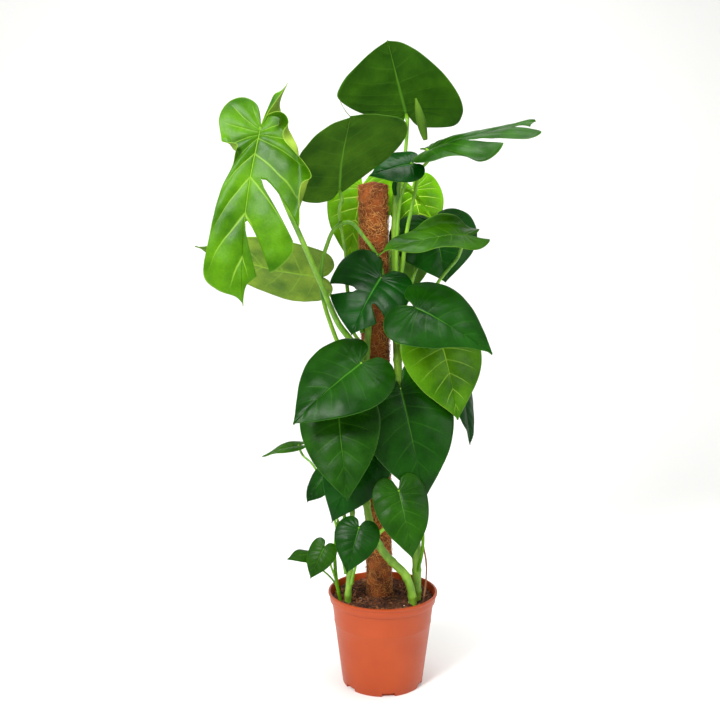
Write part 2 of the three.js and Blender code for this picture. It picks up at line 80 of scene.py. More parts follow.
def ramp(tree, factor, stops):
    # colour ramp, each stop a place and a colour
    made = add(tree, "ShaderNodeValToRGB", {"Fac": factor})
    elements = made.color_ramp.elements
    for i, (place, colour) in enumerate(stops):
        element = elements[i] if i < 2 else elements.new(place)
        element.position = place
        element.color = colour
    return made.outputs["Color"]


def mixed(tree, factor, first, second, mode="MIX"):
    # the Mix node's sockets for colours are its inputs 6 and 7 and its output 2
    made = add(tree, "ShaderNodeMix", {"Factor": factor, 6: first, 7: second}, data_type="RGBA",
               blend_type=mode)
    return made.outputs[2]


def maths(tree, operation, *values):
    return add(tree, "ShaderNodeMath", dict(enumerate(values)), operation=operation).outputs[0]


def fade(tree, value, low, high, start=1.0, end=0.0, kind="SMOOTHSTEP"):
    # step from start at low to end at high, smooth unless told otherwise
    made = add(tree, "ShaderNodeMapRange", {"Value": value, "From Min": low, "From Max": high,
                                            "To Min": start, "To Max": end}, interpolation_type=kind)
    return made.outputs["Result"]


def grainOf(tree, place, scale, detail):
    noiseNode = add(tree, "ShaderNodeTexNoise", {"Vector": place, "Scale": scale, "Detail": detail})
    return noiseNode.outputs["Fac"]


def reliefOf(tree, height, strength, depthMm):
    made = add(tree, "ShaderNodeBump", {"Height": height, "Strength": strength, "Distance": depthMm * mm})
    return made.outputs["Normal"]


leafLook = {
    "upperDark": "033803",
    "upperBright": "5f9c06",
    "underDark": "1f5002",
    "underBright": "b2d65a",
    "upperVeinDark": "3a861c",
    "underVeinDark": "5a9628",
    "veinBright": "d0f65a",
    "glowDark": "1c8400",
    "glowBright": "a9d81e",
    "upperGloss": 0.31,
    "underGloss": 0.55,
    "glow": 0.16,  # share of light that comes through the blade
    "ior": 1.43,
    "upperSpecular": 0.17,
    "underSpecular": 0.1,
    "tonePower": 1.5,
    "cellMm": 1.6,
    "mottleMm": 60,
    "fineScale": 260,
    "veinWander": 0.22,
    # broad patches of painted shade and painted highlight, multiplied over the leaf colour
    "paintedShadePatch": [0.5, 0.62, 0.5, 1],
    "paintedHighlightPatch": [1.6, 1.42, 1.1, 1],
    "speckDark": [0.9, 0.92, 0.9, 1],
    "speckPale": [1.08, 1.06, 1.05, 1],
    "reliefMm": 0.9,
    "reliefStrength": 0.55,
}


def leafMaterial(name, under):
    # leaf skin: a waxy, satin upper side over quilted tissue, and a duller, paler underside, both under broad
    # patches of painted shade and painted highlight
    look = leafLook
    material, tree, shader, output = newMaterial(name)
    out = add(tree, "ShaderNodeAttribute", attribute_name="leafOut").outputs["Fac"]
    vein = add(tree, "ShaderNodeAttribute", attribute_name="leafVein").outputs["Fac"]
    tone = add(tree, "ShaderNodeAttribute", attribute_name="leafTone").outputs["Fac"]
    tone = maths(tree, "POWER", tone, look["tonePower"])
    place = add(tree, "ShaderNodeTexCoord").outputs["Object"]
    mottle = grainOf(tree, place, 1000 / look["mottleMm"], 4)
    wander = maths(tree, "MULTIPLY", maths(tree, "SUBTRACT", mottle, 0.5), look["veinWander"])
    veinPlace = maths(tree, "ADD", vein, wander)
    fromVein = maths(tree, "PINGPONG", veinPlace, 0.5)
    veinWidth = maths(tree, "MULTIPLY_ADD", out, -0.06, 0.085)
    sideVein = maths(tree, "MULTIPLY", fade(tree, fromVein, 0.0, veinWidth), fade(tree, out, 0.55, 0.98))
    midribShow = maths(tree, "MULTIPLY_ADD", tone, 0.35, 0.65)
    midrib = maths(tree, "MULTIPLY", fade(tree, out, 0.01, 0.05), midribShow)
    veinShow = maths(tree, "MULTIPLY_ADD", tone, 0.85, 0.12)
    strength = maths(tree, "MAXIMUM", midrib, maths(tree, "MULTIPLY", sideVein, veinShow))
    fine = grainOf(tree, place, look["fineScale"], 3)
    cells = add(tree, "ShaderNodeTexVoronoi", {"Vector": place, "Scale": 1000 / look["cellMm"]},
                feature="DISTANCE_TO_EDGE")
    side = "under" if under else "upper"
    ground = mixed(tree, tone, srgb(look[side + "Dark"]), srgb(look[side + "Bright"]))
    # painted light: the mottle noise lays broad darker patches of painted shade and paler patches of painted
    # highlight over the blade colour
    patch = ramp(tree, mottle, [(0.32, look["paintedShadePatch"]), (0.68, look["paintedHighlightPatch"])])
    ground = mixed(tree, 1.0, ground, patch, "MULTIPLY")
    speck = ramp(tree, fine, [(0.35, look["speckDark"]), (0.65, look["speckPale"])])
    ground = mixed(tree, 1.0, ground, speck, "MULTIPLY")
    rim = fade(tree, out, 0.975, 1.0, 0.0, 0.4)
    veinColour = mixed(tree, tone, srgb(look[side + "VeinDark"]), srgb(look["veinBright"]))
    ground = mixed(tree, rim, ground, veinColour)
    colour = mixed(tree, strength, ground, veinColour)
    rough = look[side + "Gloss"]
    roughness = fade(tree, mottle, 0.2, 0.8, rough - 0.06, rough + 0.1, "LINEAR")
    height = maths(tree, "MULTIPLY", strength, 0.9 if under else -0.9)
    height = maths(tree, "MULTIPLY_ADD", cells.outputs["Distance"], 0.35, height)
    height = maths(tree, "MULTIPLY_ADD", fine, 0.5, height)
    normal = reliefOf(tree, height, look["reliefStrength"], look["reliefMm"])
    setInputs(tree, shader, {"Base Color": colour, "Roughness": roughness, "IOR": look["ior"],
                             "Specular IOR Level": look[side + "Specular"], "Normal": normal})
    glow = mixed(tree, tone, srgb(look["glowDark"]), srgb(look["glowBright"]))
    thin = add(tree, "ShaderNodeBsdfTranslucent", {"Color": glow, "Normal": normal})
    both = add(tree, "ShaderNodeMixShader", {"Fac": look["glow"], 1: shader.outputs["BSDF"],
                                             2: thin.outputs["BSDF"]})
    tree.links.new(both.outputs["Shader"], output.inputs["Surface"])
    return material


leafUpper = leafMaterial("waxyLeafUpperSide", False)
leafUnder = leafMaterial("leafUnderside", True)


patternLook = {"ior": 1.45, "detail": 6, "broader": 9, "relief": 0.6}


def patternMaterial(name, low, high, sizeMm, roughness, bumpMm, stretch=(1, 1, 1)):
    # a natural surface: noise of one real size, between two colours, with the same noise as relief
    material, tree, shader, _ = newMaterial(name)
    scale = 1000 / sizeMm
    place = add(tree, "ShaderNodeTexCoord").outputs["Object"]
    sized = add(tree, "ShaderNodeMapping", {"Vector": place, "Scale": stretch}).outputs["Vector"]
    grain = grainOf(tree, sized, scale, patternLook["detail"])
    broad = grainOf(tree, place, scale / patternLook["broader"], 2)
    blend = maths(tree, "MULTIPLY_ADD", broad, 0.6, maths(tree, "MULTIPLY", grain, 0.5))
    colour = ramp(tree, blend, [(0.35, srgb(low)), (0.72, srgb(high))])
    setInputs(tree, shader, {"Base Color": colour, "Roughness": roughness, "IOR": patternLook["ior"],
                             "Normal": reliefOf(tree, grain, patternLook["relief"], bumpMm)})
    return material


# waxy green skin of the leaf stalks: fine lengthwise flecks and a soft shine
stalkSkin = patternMaterial("leafStalkSkin", "3f7a10", "86b92a", 6, 0.4, 0.15, stretch=(1, 1, 0.25))
# older vine skin: green to olive, with corky rings and a duller shine
vineSkin = patternMaterial("greenVineSkin", "3a6c10", "82ae2e", 9, 0.5, 0.35, stretch=(1, 1, 0.5))
# dry aerial root: brown, matte and ridged lengthwise
rootSkin = patternMaterial("dryRootSkin", "4a2c18", "9a6a3c", 4, 0.85, 0.5, stretch=(1, 1, 0.2))
# dried leaf edge: grey-green and papery
driedSkin = patternMaterial("driedLeafEdge", "6f7f62", "b9c4a8", 5, 0.8, 0.3)
# coconut coir: the mat's own brown, darkened as painted shade where it shows between the loose strands
coirCoreWithPaintedShade = patternMaterial("coirMatWithPaintedShade", "3a1808", "a4561e", 2.2, 0.95, 1.5)
# single coir fibres: fox-brown to straw, dull
coirStrand = patternMaterial("coirStrand", "74330c", "f0ab5c", 7, 0.8, 0.2)
# peat and bark potting mix: nearly black where damp, brown on the crumbs
soilSkin = patternMaterial("pottingMix", "180b05", "63371d", 3.5, 0.95, 1.2)
# bark chips: red-brown, dull and rough
barkSkin = patternMaterial("barkChip", "45240f", "935a33", 5, 0.9, 0.6)
# expanded perlite: chalky white grains with a dull surface
perliteSkin = patternMaterial("perlite", "b9b4a6", "f1eee6", 2, 0.9, 0.3)


potLook = {"low": "a03b0b", "high": "aa430f", "glossy": 0.34, "dull": 0.46, "ior": 1.49, "specular": 0.35,
           "textureMm": 0.2, "texture": 0.25}


def moulded(name):
    # injection-moulded polypropylene: terracotta colour, satin, faintly clouded, a very fine mould texture
    material, tree, shader, _ = newMaterial(name)
    place = add(tree, "ShaderNodeTexCoord").outputs["Object"]
    cloud = grainOf(tree, place, 14, 5)
    skin = grainOf(tree, place, 1400, 2)
    drawn = add(tree, "ShaderNodeMapping", {"Vector": place, "Scale": (1, 1, 14)}).outputs["Vector"]
    scuff = grainOf(tree, drawn, 40, 6)
    colour = ramp(tree, cloud, [(0.3, srgb(potLook["low"])), (0.7, srgb(potLook["high"]))])
    rough = fade(tree, scuff, 0.3, 0.7, potLook["glossy"], potLook["dull"], "LINEAR")
    normal = reliefOf(tree, skin, potLook["texture"], potLook["textureMm"])
    setInputs(tree, shader, {"Base Color": colour, "Roughness": rough, "IOR": potLook["ior"],
                             "Specular IOR Level": potLook["specular"], "Normal": normal})
    return material


potPlastic = moulded("terracottaPolypropylene")
print("materials made")


def linked(name, data):
    made = bpy.data.objects.new(name, data)
    bpy.context.scene.collection.objects.link(made)
    return made


def meshFrom(work, name):
    # the finished mesh, after which the working copy is let go
    mesh = bpy.data.meshes.new(name)
    work.to_mesh(mesh)
    work.free()
    return mesh


def evaluatedMesh(piece):
    # the object's mesh with its bevel or its boolean carried out
    bpy.context.view_layer.update()
    return bpy.data.meshes.new_from_object(piece.evaluated_get(bpy.context.evaluated_depsgraph_get()))


def leafLayers(work):
    # what the leaf materials read: how far out, which side vein, and dark or bright
    layers = work.verts.layers.float
    return layers.new("leafOut"), layers.new("leafVein"), layers.new("leafTone")


def newObject(name, mesh, materials, cadNodes=()):
    # a visible piece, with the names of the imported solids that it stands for
    piece = linked(name, mesh)
    for material in materials:
        mesh.materials.append(material)
    mesh.shade_smooth()
    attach(piece, "root")
    if cadNodes:
        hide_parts(*cadNodes)
    return piece


def splineAt(knots, share):
    # uniform Catmull-Rom through the knots
    last = len(knots) - 1
    at = min(max(share, 0.0), 1.0) * last
    i = min(int(at), last - 1)
    k = at - i
    a, b = knots[max(i - 1, 0)], knots[i]
    c, d = knots[i + 1], knots[min(i + 2, last)]
    made = []
    for p, q, r, t in zip(a, b, c, d):
        first, second = (r - p) * 0.5, (t - q) * 0.5
        made.append((2 * q - 2 * r + first + second) * k ** 3
                    + (-3 * q + 3 * r - 2 * first - second) * k ** 2 + first * k + q)
    return made


# half outlines, from the notch at the stalk round the lobe to the tip, as shares of the length
heart = [(0.035, -0.03), (0.1, -0.17), (0.27, -0.205), (0.43, -0.09), (0.495, 0.12),
         (0.465, 0.35), (0.36, 0.58), (0.2, 0.78), (0.075, 0.92), (0.012, 0.995)]
splitRight = [(0.02, -0.05), (0.022, -0.12), (0.035, -0.19), (0.075, -0.215), (0.118, -0.262), (0.19, -0.17),
              (0.2, -0.04), (0.27, 0.04), (0.34, 0.14), (0.37, 0.24), (0.39, 0.3), (0.38, 0.4),
              (0.345, 0.55), (0.31, 0.62), (0.295, 0.7), (0.19, 0.815), (0.1, 0.845), (0.06, 0.865),
              (0.032, 0.9), (0.008, 0.995)]
splitLeft = [(0.03, -0.05), (0.08, -0.134), (0.17, -0.165), (0.245, -0.12), (0.265, -0.03), (0.225, 0.08),
             (0.18, 0.175), (0.125, 0.215), (0.165, 0.34), (0.19, 0.49), (0.215, 0.67), (0.24, 0.85),
             (0.165, 0.925), (0.06, 0.955), (0.008, 0.995)]
topRight = [(0.035, -0.03), (0.1, -0.08), (0.292, 0.028), (0.488, 0.2), (0.64, 0.36), (0.75, 0.53),
            (0.71, 0.63), (0.53, 0.77), (0.2, 0.93), (0.012, 0.995)]
topLeft = [(0.035, -0.03), (0.12, -0.2), (0.34, -0.3), (0.56, -0.32), (0.668, -0.174), (0.7, -0.014),
           (0.667, 0.188), (0.544, 0.46), (0.332, 0.757), (0.15, 0.93), (0.012, 0.995)]
flaredRight = [(0.035, -0.03), (0.12, -0.08), (0.3, -0.07), (0.46, 0.03), (0.56, 0.22), (0.57, 0.43),
               (0.5, 0.62), (0.36, 0.79), (0.17, 0.93), (0.012, 0.995)]
flaredLeft = [(0.035, -0.03), (0.16, 0.03), (0.37, 0.2), (0.54, 0.42), (0.62, 0.62), (0.62, 0.78),
              (0.5, 0.92), (0.22, 1.0), (0.012, 0.995)]
hanging = [(0.035, 0), (0.12, -0.1), (0.27, -0.1), (0.34, 0.04), (0.33, 0.2), (0.37, 0.34), (0.46, 0.46),
           (0.45, 0.6), (0.36, 0.74), (0.36, 0.92), (0.28, 1.02), (0.16, 0.96), (0.06, 0.95), (0.012, 0.995)]
narrow = [(0.035, 0), (0.12, -0.06), (0.26, -0.02), (0.33, 0.14), (0.32, 0.35), (0.26, 0.56), (0.16, 0.76),
          (0.07, 0.91), (0.012, 0.995)]
spread = [(0.035, -0.03), (0.12, -0.24), (0.32, -0.33), (0.54, -0.26), (0.68, -0.06), (0.7, 0.15),
          (0.65, 0.4), (0.5, 0.62), (0.3, 0.8), (0.1, 0.94), (0.012, 0.995)]
drawnOut = [(0.035, -0.03), (0.1, -0.17), (0.27, -0.22), (0.43, -0.12), (0.48, 0.08), (0.42, 0.3),
            (0.32, 0.48), (0.2, 0.63), (0.11, 0.78), (0.05, 0.91), (0.012, 0.995)]
shallow = [(0.03, -0.005), (0.08, -0.05), (0.2, -0.08), (0.34, -0.03), (0.44, 0.12),
           (0.45, 0.33), (0.37, 0.56), (0.22, 0.76), (0.08, 0.91), (0.012, 0.995)]

leafDefaults = {"wide": 1, "right": heart, "left": heart, "fold": 0.12, "cup": 0.5, "droop": 0.4, "twist": 0,
                "bow": 0, "lag": 1.25, "slots": [], "tone": 0.12, "veins": 11, "quilt": 1.2, "wave": 2.5,
                "waves": 2.2, "rows": 64, "columns": 20, "curls": [], "thick": 0.7}

leafTable = {
    "split_left": {"base": (-236, -192, 1174), "tip": (-270, -224, 839), "face": (-0.12, -0.95, 0.28),
                   "right": splitLeft, "left": splitRight, "wide": 1, "bow": 0.03, "lag": 1.75, "cup": 0.35,
                   "fold": 0.1, "droop": 0.3, "rows": 120, "columns": 34, "tone": 0.6, "veins": 10,
                   "slots": [(-1, 0.668, 0.25, 0.034), (-1, 0.816, 0.1, 0.03)], "quilt": 2.2, "wave": 4,
                   "curls": [(-1, 0.42, 0.09, 2.7, 0.69), (-1, 0.265, 0.045, 2.5, 0.55),
                             (-1, 0.58, 0.05, 2.2, 0.86), (1, 0.44, 0.05, 2.4, 0.75)]},
    "left_under": {"base": (-132, 64, 888), "tip": (-417, 94, 957), "face": (-0.1, 0.6, 0.8),
                   "right": shallow, "left": shallow, "wide": 0.85, "droop": -0.25, "cup": 0.3, "tone": 0.42},
    "upper_left": {"base": (-92, -88, 1064), "tip": (-66, -244, 1184), "face": (-0.36, 0.5, 0.8),
                   "right": flaredRight, "left": flaredLeft, "cup": 0.3, "fold": 0.05, "tone": 0.1},
    "top": {"base": (48, 30, 1232), "tip": (5, -60, 1364), "face": (-0.1, 0.8, 0.6), "right": topRight,
            "left": topLeft, "wide": 1.07, "droop": -0.3, "fold": 0.05, "cup": 0.3, "tone": 0.06},
    "top_right": {"base": (84, -50, 1150), "tip": (300, -90, 1200), "face": (-0.24, -0.3, 0.9),
                  "right": hanging, "left": narrow, "wide": 1.1, "cup": 0.8, "droop": 0.2, "rows": 90,
                  "slots": [(1, 0.62, 0.35, 0.03), (1, 0.87, 0.35, 0.03)], "tone": 0.22, "wave": 5},
    "upper_middle": {"base": (55, -78, 1120), "tip": (-32, -92, 1092), "face": (0.05, -0.75, 0.6),
                     "wide": 1, "tone": 0},
    "pale_rear_left": {"base": (-44, 76, 1090), "tip": (-76, 92, 925), "face": (-0.12, -0.95, 0.3),
                       "wide": 0.95, "tone": 1},
    "pale_rear_right": {"base": (66, 112, 1088), "tip": (98, 118, 962), "face": (0.1, -0.95, 0.3),
                        "wide": 1.1, "tone": 1},
    "right_dark": {"base": (108, 44, 1006), "tip": (134, 20, 878), "face": (0.1, -0.85, 0.5),
                   "wide": 1.6, "cup": 0.4, "tone": 0.02},
    "right_level": {"base": (160, -104, 974), "tip": (-18, -150, 936), "face": (-0.1, -0.5, 0.85),
                    "wide": 0.68, "cup": 0.3, "droop": 0.5, "tone": 0.3, "wave": 6, "waves": 3.2,
                    "curls": [(1, 0.45, 0.12, 1.8, 0.75)]},
    "split_centre": {"base": (-6, -84, 892), "tip": (-68, -108, 776), "face": (-0.3, -0.9, 0.25),
                     "right": spread, "wide": 1.2, "cup": 0.4, "fold": 0.15, "rows": 90, "tone": 0,
                     "slots": [(-1, 0.7, 0.3, 0.035), (1, 0.64, 0.34, 0.045)]},
    "right_heart_upper": {"base": (56, -152, 833), "tip": (206, -188, 743), "face": (0.1, -0.8, 0.6),
                          "right": drawnOut, "wide": 1.05, "tone": 0.12},
    "right_heart_bright": {"base": (114, -56, 771), "tip": (152, -82, 597), "face": (0.25, -0.9, 0.4),
                           "wide": 1.05, "tone": 0.6},
    "left_heart": {"base": (-46, -138, 723), "tip": (-180, -190, 606), "face": (-0.1, -0.75, 0.65),
                   "wide": 1.05, "tone": 0.12},
    "left_heart_lower": {"base": (-94, -124, 628), "tip": (-74, -176, 450), "face": (-0.15, -0.85, 0.5),
                         "wide": 0.93, "tone": 0.18},
    "middle_heart": {"base": (33, -76, 664), "tip": (82, -112, 430), "face": (0.12, -0.88, 0.45),
                     "wide": 0.92, "tone": 0.1},
    "right_edge": {"base": (170, 30, 650), "tip": (190, 20, 524), "face": (0.8, -0.5, 0.3),
                   "wide": 0.75, "tone": 0},
    "lower_rear": {"base": (-40, -92, 540), "tip": (-109, -98, 384), "face": (-0.2, -0.85, 0.45),
                   "wide": 0.9, "tone": 0.05},
    "left_tongue": {"base": (-182, -10, 530), "tip": (-262, 0, 502), "face": (-0.1, -0.35, 0.93),
                    "wide": 0.55, "tone": 0.3, "rows": 48, "columns": 14},
    "left_small_rear": {"base": (-122, -58, 474), "tip": (-162, -64, 418), "face": (-0.42, -0.7, 0.5),
                        "wide": 1, "tone": 0.05, "rows": 48, "columns": 14},
    "front_heart": {"base": (28, -140, 464), "tip": (55, -178, 333), "face": (0.05, -0.88, 0.47),
                    "wide": 0.86, "tone": 0.22},
    "front_left_heart": {"base": (-52, -144, 388), "tip": (-76, -170, 302), "face": (-0.1, -0.85, 0.5),
                         "wide": 1.05, "tone": 0.1},
    "low_left_heart": {"base": (-124, -92, 330), "tip": (-154, -104, 266), "face": (-0.1, -0.85, 0.5),
                       "wide": 0.9, "tone": 0.25, "rows": 48, "columns": 14},
    "low_left_small": {"base": (-163, -70, 306), "tip": (-204, -80, 299), "face": (-0.2, -0.5, 0.85),
                       "wide": 0.95, "tone": 0.25, "rows": 48, "columns": 14},
    "rear_high": {"base": (20, 150, 960), "tip": (60, 250, 830), "face": (0.1, 0.8, 0.6),
                  "wide": 1.1, "tone": 0.12},
}


def veinStart(share, lag):
    # where on the midrib the side vein to this share of the outline starts: the first fan out from the stalk
    fan, foot = 0.45, 0.05
    if share < fan:
        return foot * share / fan
    return foot + 0.95 * ((share - fan) / (1 - fan)) ** lag


def flatPoint(leaf, side, share, out):
    # a place on the flat blade: out along the side vein that starts at share
    edge = splineAt(leaf["right"] if side > 0 else leaf["left"], share)
    start = veinStart(share, leaf["lag"])
    x = 2 * out * (1 - out) * 0.55 * edge[0] + out * out * edge[0]
    y = (1 - out) ** 2 * start + 2 * out * (1 - out) * (start + 0.3 * (edge[1] - start)) + out * out * edge[1]
    return side * x * leaf["wide"], y


def bentPoint(leaf, x, y):
    # the flat blade folded at its midrib, cupped, drooped, twisted and bowed
    reach = math.sqrt(x * x + 0.0004) - 0.02
    side = -1 if x < 0 else 1
    curl = leaf["cup"] / 0.5
    over = math.sin(curl * reach) / curl
    under = -(1 - math.cos(curl * reach)) / curl
    across = side * (over * math.cos(leaf["fold"]) - under * math.sin(leaf["fold"]))
    rise = over * math.sin(leaf["fold"]) + under * math.cos(leaf["fold"])
    turn = leaf["twist"] * y
    across, rise = (across * math.cos(turn) + rise * math.sin(turn),
                    -across * math.sin(turn) + rise * math.cos(turn))
    bend = leaf["droop"] * y
    along = math.sin(bend) / leaf["droop"]
    fall = -(1 - math.cos(bend)) / leaf["droop"]
    sway = leaf["bow"] * 4 * y * (1 - y)
    return Vector((across + sway, along + rise * math.sin(bend), fall + rise * math.cos(bend)))


def bladeNormal(leaf, x, y):
    # unit normal of the bent blade, from small steps to each side
    step = 0.002
    acrossStep = bentPoint(leaf, x + step, y) - bentPoint(leaf, x - step, y)
    alongStep = bentPoint(leaf, x, y + step) - bentPoint(leaf, x, y - step)
    return acrossStep.cross(alongStep).normalized()


def axesOf(chord, up):
    # turn that takes y along the chord and z as near up as it can be
    y = chord.normalized()
    z = (up - y * up.dot(y)).normalized()
    return Matrix((y.cross(z), y, z)).transposed()


def bladeFrame(leaf):
    # turn, origin and size that put the blade between its base and its tip
    localTip = bentPoint(leaf, 0, 1)
    chord = (Vector(leaf["tip"]) - Vector(leaf["base"])) * mm
    turn = axesOf(chord, Vector(leaf["face"])) @ axesOf(localTip, Vector((0, 0, 1))).transposed()
    return turn, Vector(leaf["base"]) * mm, chord.length / localTip.length


def foldOver(past, room, angle):
    # how far out and how far up a flap lies: a tight bend, then straight on over the blade
    bend = 0.3 * room
    turn = angle * min(past, bend) / bend
    rest = max(past - bend, 0)
    outward = math.sin(turn) * bend / angle + math.cos(turn) * rest
    return outward, (1 - math.cos(turn)) * bend / angle + math.sin(turn) * rest


def opening(slot, out):
    # half width of a split, in shares of the outline
    if slot is None or out <= slot[2]:
        return 0.0
    k = (out - slot[2]) / (1 - slot[2])
    return slot[3] * (0.12 + math.sqrt(k) * (1 - 0.35 * k)) * min(1.0, k * 12)


bladeRelief = {"ribMm": 0.8, "ribWidth": 0.04, "fullSize": 0.18, "curlLift": 1.4, "broadMm": 3.5,
               "broadScale": 13, "fineMm": 1.5, "fineScale": 42, "bigSize": 0.15, "bigThickMm": 3.2,
               "smallThickMm": 2.0}


def makeLeaf(name, settings):
    # a blade as a grid for each half, parted at its splits, then given its ribs by a solidify
    relief = bladeRelief
    leaf = dict(leafDefaults, **settings)
    turn, origin, size = bladeFrame(leaf)
    unit = mm / size
    rows = leaf["rows"]
    sheet = bmesh.new()
    outLayer, veinLayer, toneLayer = leafLayers(sheet)
    ribLayer = sheet.verts.layers.deform.verify()
    phase = {1: dice.uniform(0, 6.28), -1: dice.uniform(0, 6.28)}
    seed = Vector((dice.uniform(0, 50), dice.uniform(0, 50), dice.uniform(0, 50)))
    toneShift = dice.uniform(-0.03, 0.05)
    for side in (1, -1):
        cuts = [None] + sorted(slot for slot in leaf["slots"] if slot[0] == side) + [None]
        marks = [0] + [round(slot[1] * rows) for slot in cuts[1:-1]] + [rows]
        for strip in range(len(marks) - 1):
            low, high = marks[strip], marks[strip + 1]
            patch = bmesh.ops.create_grid(sheet, x_segments=leaf["columns"], y_segments=high - low, size=0.5)
            for vert in patch["verts"]:
                out = vert.co.x + 0.5
                v = vert.co.y + 0.5
                share = (low + (high - low) * v) / rows
                share += opening(cuts[strip], out) * (1 - v) ** 2
                share -= opening(cuts[strip + 1], out) * v ** 2
                reach = out
                for place in (cuts[strip] and low / rows, cuts[strip + 1] and high / rows):
                    if place:
                        reach -= 0.05 * out ** 3 * math.exp(-((share - place) / 0.03) ** 2)
                curled = 0.0
                for curl in leaf["curls"]:
                    past = (reach - curl[4]) * (curl[0] == side)
                    if past > 0:
                        angle = curl[3] * math.exp(-((share - curl[1]) / curl[2]) ** 2) + 0.001
                        outward, upward = foldOver(past, 1 - curl[4], angle)
                        reach = curl[4] + outward
                        curled += upward
                x, y = flatPoint(leaf, side, share, reach)
                veinAt = share * leaf["veins"]
                lift = leaf["quilt"] * abs(math.sin(math.pi * veinAt)) ** 0.8 * 4 * out * (1 - out)
                lift -= relief["ribMm"] * math.exp(-(out / relief["ribWidth"]) ** 2)
                lift += leaf["wave"] * out ** 3 * math.sin(6.28 * leaf["waves"] * share + phase[side])
                lift *= 0.4 + 0.6 * min(1.0, size / relief["fullSize"])
                edge = splineAt(leaf["right"] if side > 0 else leaf["left"], share)
                lift = lift * unit + relief["curlLift"] * curled * abs(edge[0]) * leaf["wide"]
                spot = bentPoint(leaf, x, y) + bladeNormal(leaf, x, y) * lift
                vert.co = turn @ (spot * size) + origin
                ripple = relief["broadMm"] * noise.noise(vert.co * relief["broadScale"] + seed)
                ripple += relief["fineMm"] * noise.noise(vert.co * relief["fineScale"] + seed)
                vert.co += turn @ Vector((0, 0, 1)) * ripple * mm
                vert[outLayer] = out
                vert[veinLayer] = veinAt
                vert[toneLayer] = leaf["tone"] + toneShift
                rib = math.exp(-(out / 0.05) ** 2) * (1 - 0.75 * share)
                fromVein = (veinAt + 0.5) % 1 - 0.5
                vert[ribLayer][0] = min(1.0, rib + 0.12 * math.exp(-(fromVein / 0.06) ** 2) * (1 - out))
    bmesh.ops.remove_doubles(sheet, verts=sheet.verts, dist=0.00003)
    bmesh.ops.recalc_face_normals(sheet, faces=sheet.faces)
    facing = turn @ Vector((0, 0, 1))
    if sum(face.normal.dot(facing) * face.calc_area() for face in sheet.faces) < 0:
        bmesh.ops.reverse_faces(sheet, faces=sheet.faces)
    mesh = meshFrom(sheet, "blade_" + name)
    piece = newObject("blade_" + name, mesh, [leafUpper, leafUnder], ["leaf_" + name])
    piece.vertex_groups.new(name="rib")
    shell = piece.modifiers.new("thickness", "SOLIDIFY")
    shell.thickness = (relief["bigThickMm"] if size > relief["bigSize"] else relief["smallThickMm"]) * mm
    shell.offset = -1
    shell.vertex_group = "rib"
    shell.thickness_vertex_group = leaf["thick"] / (shell.thickness / mm)
    shell.material_offset = 1
    shell.material_offset_rim = 1


for leafName, leafSettings in leafTable.items():
    makeLeaf(leafName, leafSettings)
print("leaf blades made:", len(leafTable))


def tubeRings(node):
    # the centres and radii of a CAD tube's rings, from one flat end to the other
    tube = bmesh.new()
    tube.from_mesh(node.data)
    bmesh.ops.remove_doubles(tube, verts=tube.verts, dist=0.00003)
    seen = set()
    cap = None
    for face in tube.faces:
        if face in seen or cap:
            continue
        patch, stack = {face}, [face]
        while stack:
            for edge in stack.pop().edges:
                for other in edge.link_faces:
                    if other not in patch and other.normal.dot(face.normal) > 0.99995:
                        patch.add(other)
                        stack.append(other)
        seen |= patch
        corners = {vert for one in patch for vert in one.verts}
        middle = sum((vert.co for vert in corners), Vector()) / len(corners)
        spans = [(vert.co - middle).length for vert in corners]
        if len(corners) >= 6 and max(spans) < 1.05 * min(spans):
            cap = corners
    rings, ring, visited = [], cap, set(cap)
    while ring:
        middle = sum((vert.co for vert in ring), Vector()) / len(ring)
        rings.append((middle, sum((vert.co - middle).length for vert in ring) / len(ring)))
        ring = {edge.other_vert(vert) for vert in ring for edge in vert.link_edges} - visited
        visited |= ring
    tube.free()
    return rings


def smoothRun(rings, step):
    # the rings' centres and radii again, every step metres along a smooth curve
    knots = [tuple(middle) + (radius,) for middle, radius in rings]
    length = sum((b[0] - a[0]).length for a, b in zip(rings, rings[1:]))
    count = max(8, round(length / step))
    run = [splineAt(knots, i / count) for i in range(count + 1)]
    return [(Vector(p[:3]), p[3]) for p in run]


def tubeMesh(name, runs, resolution):
    # one mesh of round tubes, each a list of centres with radii
    curve = bpy.data.curves.new(name, "CURVE")
    curve.dimensions = "3D"
    curve.bevel_depth = 1.0
    curve.bevel_resolution = resolution
    curve.use_fill_caps = True
    for run in runs:
        spline = curve.splines.new("POLY")
        spline.points.add(len(run) - 1)
        for point, (middle, radius) in zip(spline.points, run):
            point.co = (middle.x, middle.y, middle.z, 1)
            point.radius = radius
    holder = linked(name, curve)
    mesh = evaluatedMesh(holder)
    mesh.name = name
    bpy.data.objects.remove(holder)
    bpy.data.curves.remove(curve)
    return mesh


def makeStalk(name):
    # a stalk along its CAD tube, with a wider foot and a swollen joint just under the blade
    node = nodes["stalk_" + name]
    rings = tubeRings(node)
    base = Vector(leafTable[name]["base"]) * mm
    if (rings[0][0] - base).length < (rings[-1][0] - base).length:
        rings.reverse()
    run = smoothRun(rings, 0.004)
    last = len(run) - 1
    shaped = []
    for i, (middle, radius) in enumerate(run):
        k = i / last
        sheath = 1 + 0.22 * math.exp(-(k / 0.12) ** 2)
        joint = 1 + 0.25 * math.exp(-((k - 0.93) / 0.035) ** 2)
        shaped.append((middle, radius * sheath * joint))
    shaped.append((base, shaped[-1][1] * 0.9))
    mesh = tubeMesh("petiole_" + name, [shaped], 3)
    newObject("petiole_" + name, mesh, [stalkSkin], ["stalk_" + name])


for leafName in leafTable:
    makeStalk(leafName)

vineSettings = {"ringMm": 46, "ringRise": 0.16, "ringWidthMm": 5}


